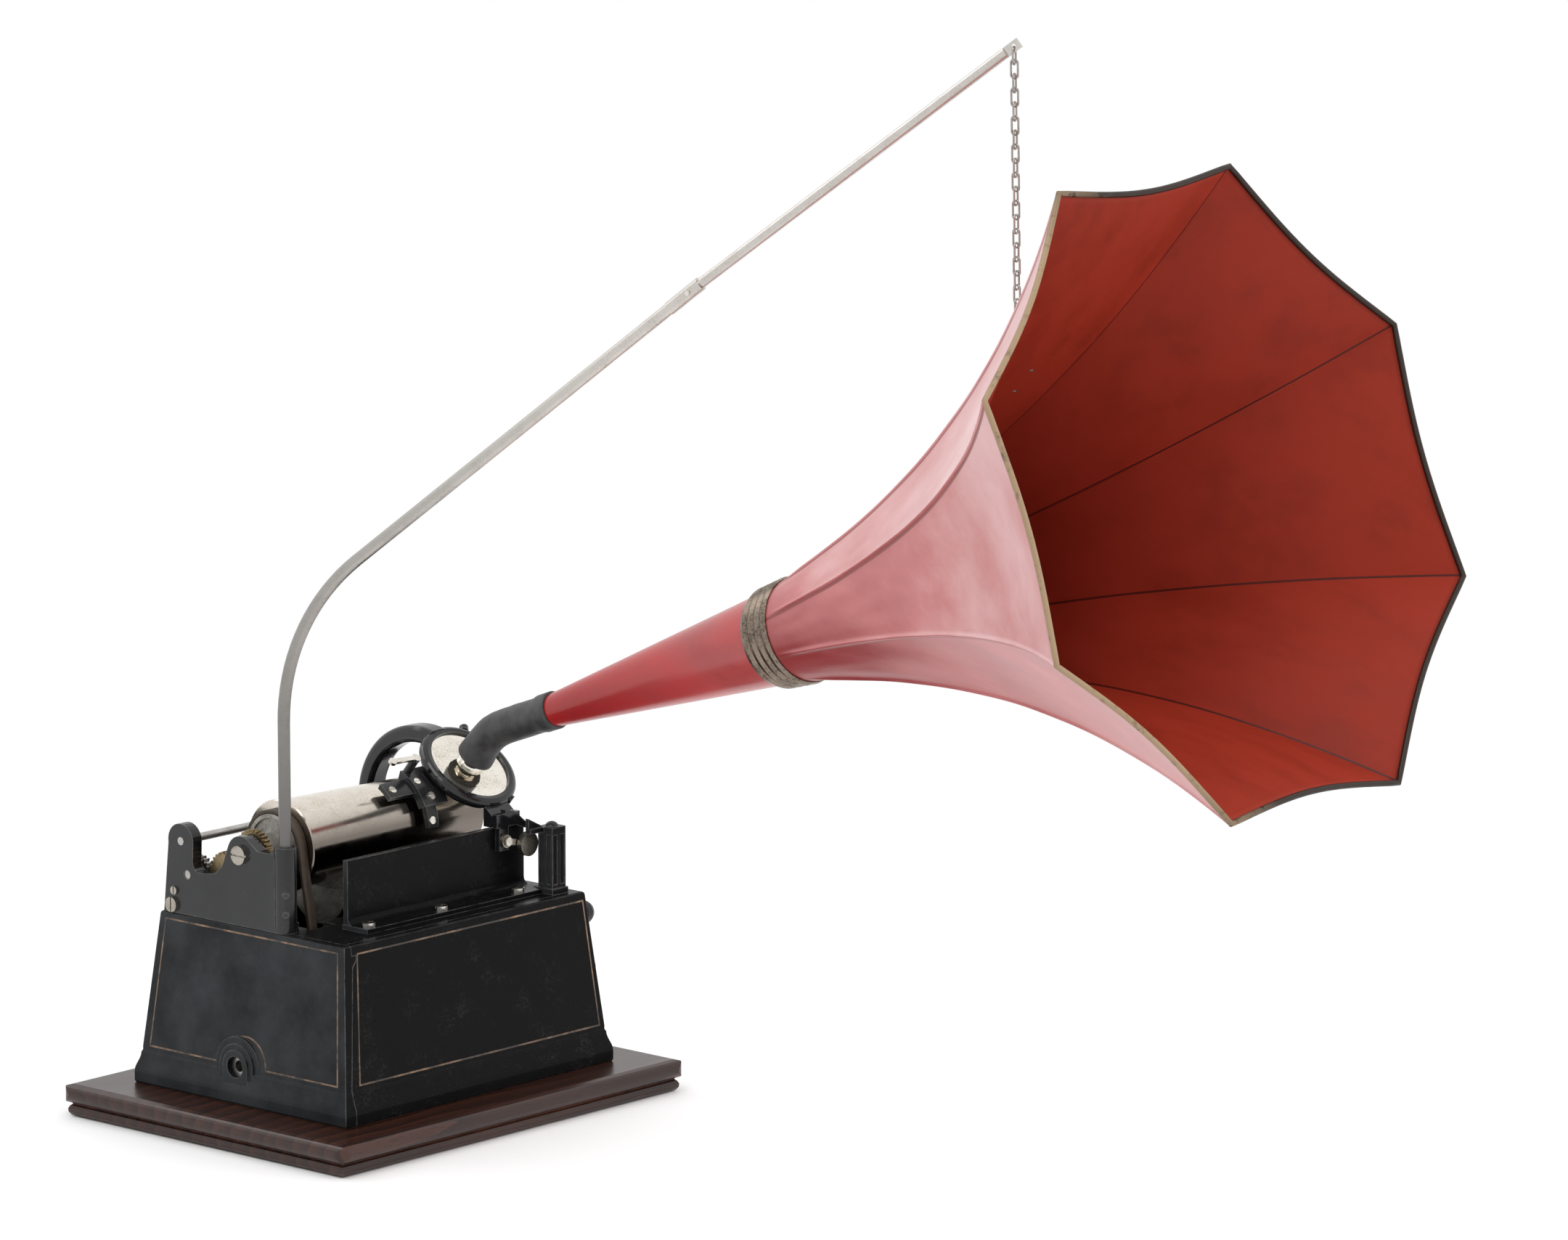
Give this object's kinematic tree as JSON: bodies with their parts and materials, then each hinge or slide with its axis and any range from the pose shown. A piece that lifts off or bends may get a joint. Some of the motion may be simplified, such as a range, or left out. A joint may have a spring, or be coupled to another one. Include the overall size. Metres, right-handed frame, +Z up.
{
  "type": "cylinder phonograph",
  "caption": "Table-top cylinder phonograph: black tapered case on a moulded board, open mandrel and carriage, red eight-panel horn hung by a chain from a bent crane.",
  "frame": {"origin": "centre of the base board's underside", "axes": "+X along the mandrel towards its free end, +Y to the back, away from the horn's mouth, +Z up"},
  "size_m": [0.3409, 0.6738, 0.5782],
  "materials": {
    "mahogany": "varnished mahogany",
    "nickel": "bright nickel plate",
    "black_japan": "black japan, glossy",
    "steel": "plain steel",
    "black_steel": "blackened steel",
    "grey_plate": "dull plate",
    "aged_nickel": "worn nickel",
    "belt_leather": "dark leather",
    "mandrel_nickel": "nickel plate",
    "gear_brass": "brass",
    "spring_steel": "blued steel",
    "copper_brass": "coppery brass",
    "mica": "mica disc",
    "black_rubber": "black rubber",
    "horn_red_neck": "red paint",
    "tarnished_band": "tarnished plate",
    "horn_red_bell": "red paint, glossy",
    "worn_gilt": "worn gilt bead",
    "tarnished_wire": "tarnished wire"
  },
  "bodies": {
    "case": {"base_board": "mahogany", "board_screws": "nickel", "case_shell": "black_japan", "case_left_wall": "black_japan", "bedplate": "black_japan", "left_bracket": "black_japan", "bracket_screws": "nickel", "crane_set_screws": "nickel", "right_standard": "black_japan", "standard_screws": "nickel", "back_rod": "steel", "front_plate": "black_japan", "plate_screws": "nickel", "end_post": "black_japan", "end_post_screw": "black_steel", "chip_tray": "grey_plate", "mandrel_arbor": "aged_nickel", "arbor_end_nut": "nickel", "idler_stud": "steel", "drive_belt": "belt_leather", "motor_plates": "steel", "motor_pillars": "steel", "brake_arm": "steel"},
    "mandrel": {"mandrel_shell": "mandrel_nickel", "mandrel_pulley": "grey_plate", "mandrel_gear": "gear_brass"},
    "idler": {"idler_gear": "gear_brass"},
    "feed": {"feed_screw": "steel"},
    "drive": {"drive_shaft": "gear_brass"},
    "train": {"train_arbor": "gear_brass"},
    "barrel": {"spring_barrel": "steel", "mainspring": "spring_steel"},
    "governor": {"governor_spindle": "steel", "governor_weights": "gear_brass"},
    "winding": {"winding_arbor": "steel"},
    "barrel_arbor": {"winding_wheel": "gear_brass"},
    "stop": {"stop_knob": "black_steel"},
    "speed": {"speed_screw": "copper_brass"},
    "sleeve": {"carriage_sleeve": "steel"},
    "arm": {"carriage_arm": "black_japan", "half_nut": "gear_brass", "shaver_block": "black_steel", "shaver_screws": "nickel", "ring_clamp_screw": "black_steel", "lift_lever_pin": "nickel", "reproducer_body": "nickel", "diaphragm": "mica", "horn_elbow": "black_rubber"},
    "weight": {"floating_weight": "aged_nickel"},
    "shaver_lever": {"shaver_lever": "nickel"},
    "lift_lever": {"lift_lever": "aged_nickel"},
    "horn": {"horn_neck": "horn_red_neck", "horn_band": "tarnished_band", "horn_bell": "horn_red_bell", "horn_rim_bead": "worn_gilt", "horn_eyelet": "tarnished_wire"},
    "crane": {"crane_rod": "nickel", "crane_upper_rod": "nickel", "crane_joint_pin": "nickel"},
    "chain": {"chain": "tarnished_wire"}
  },
  "joints": [
    {"name": "mandrel_spin", "type": "hinge", "parent": "case", "child": "mandrel", "pos_m": [0, 0.008, 0.144], "axis": [1, 0, 0], "continuous": true},
    {"name": "idler_spin", "type": "hinge", "parent": "case", "child": "idler", "pos_m": [-0.0795, 0.0262, 0.12836], "axis": [1, 0, 0], "continuous": true},
    {"name": "feed_spin", "type": "hinge", "parent": "case", "child": "feed", "pos_m": [0, 0.047, 0.128], "axis": [1, 0, 0], "continuous": true},
    {"name": "drive_spin", "type": "hinge", "parent": "case", "child": "drive", "pos_m": [0, -0.008, 0.064], "axis": [1, 0, 0], "continuous": true},
    {"name": "train_spin", "type": "hinge", "parent": "case", "child": "train", "pos_m": [0, 0.0068, 0.07973], "axis": [1, 0, 0], "continuous": true},
    {"name": "barrel_spin", "type": "hinge", "parent": "case", "child": "barrel", "pos_m": [0, 0.034, 0.06], "axis": [1, 0, 0], "continuous": true},
    {"name": "governor_spin", "type": "hinge", "parent": "case", "child": "governor", "pos_m": [0.03, -0.02199, 0.07533], "axis": [1, 0, 0], "continuous": true},
    {"name": "winding_spin", "type": "hinge", "parent": "case", "child": "winding", "pos_m": [-0.06, 0.004, 0.036], "axis": [1, 0, 0], "continuous": true},
    {"name": "barrel_arbor_spin", "type": "hinge", "parent": "case", "child": "barrel_arbor", "pos_m": [-0.045, 0.034, 0.06], "axis": [1, 0, 0], "continuous": true},
    {"name": "stop_turn", "type": "hinge", "parent": "case", "child": "stop", "pos_m": [0.088, -0.0585, 0.094], "axis": [1, 0, 0], "range_deg": [-40, 0]},
    {"name": "speed_turn", "type": "hinge", "parent": "case", "child": "speed", "pos_m": [0.088, -0.062, 0.066], "axis": [1, 0, 0], "range_deg": [-180, 180]},
    {"name": "carriage_slide", "type": "slide", "parent": "case", "child": "sleeve", "axis": [1, 0, 0], "range_m": [-0.096, 0]},
    {"name": "carriage_lift", "type": "hinge", "parent": "sleeve", "child": "arm", "pos_m": [0.0569, 0.051, 0.145], "axis": [-1, 0, 0], "range_deg": [0, 10]},
    {"name": "weight_swing", "type": "hinge", "parent": "arm", "child": "weight", "pos_m": [0.0569, 0.00302, 0.1778], "axis": [1, 0, 0], "range_deg": [0, 6]},
    {"name": "shaver_turn", "type": "hinge", "parent": "arm", "child": "shaver_lever", "pos_m": [0.0209, -0.01077, 0.17989], "axis": [0, -0.6293, 0.7771], "range_deg": [-40, 10]},
    {"name": "lift_turn", "type": "hinge", "parent": "arm", "child": "lift_lever", "pos_m": [0.0536, -0.042, 0.1358], "axis": [0, -1, 0], "range_deg": [0, 30]},
    {"name": "horn_pitch", "type": "hinge", "parent": "arm", "child": "horn", "pos_m": [0.0569, -0.038, 0.196], "axis": [-1, 0, 0], "range_deg": [-13, 1], "deforming": ["horn_elbow"]},
    {"name": "crane_swivel", "type": "hinge", "parent": "case", "child": "crane", "pos_m": [-0.0817, -0.018, 0.137], "axis": [0, 0, 1], "range_deg": [-15, 1]},
    {"name": "chain_swing", "type": "hinge", "parent": "crane", "child": "chain", "pos_m": [0.0569, -0.38008, 0.57413], "axis": [0.9761, 0.2171, 0], "range_deg": [-1, 9.5]}
  ],
  "couplings": [
    {"joint": "idler_spin", "follows": "mandrel_spin", "ratio": -0.875},
    {"joint": "feed_spin", "follows": "mandrel_spin", "ratio": 1.4},
    {"joint": "drive_spin", "follows": "mandrel_spin", "ratio": 1.25},
    {"joint": "train_spin", "follows": "mandrel_spin", "ratio": -0.25},
    {"joint": "barrel_spin", "follows": "mandrel_spin", "ratio": 0.041667},
    {"joint": "governor_spin", "follows": "mandrel_spin", "ratio": -6.25},
    {"joint": "barrel_arbor_spin", "follows": "winding_spin", "ratio": -0.28},
    {"joint": "crane_swivel", "follows": "carriage_slide", "rad_per_m": 2.6613},
    {"joint": "chain_swing", "follows": "carriage_slide", "rad_per_m": -1.5424},
    {"joint": "horn_pitch", "follows": "carriage_lift", "ratio": -1.2557}
  ]
}
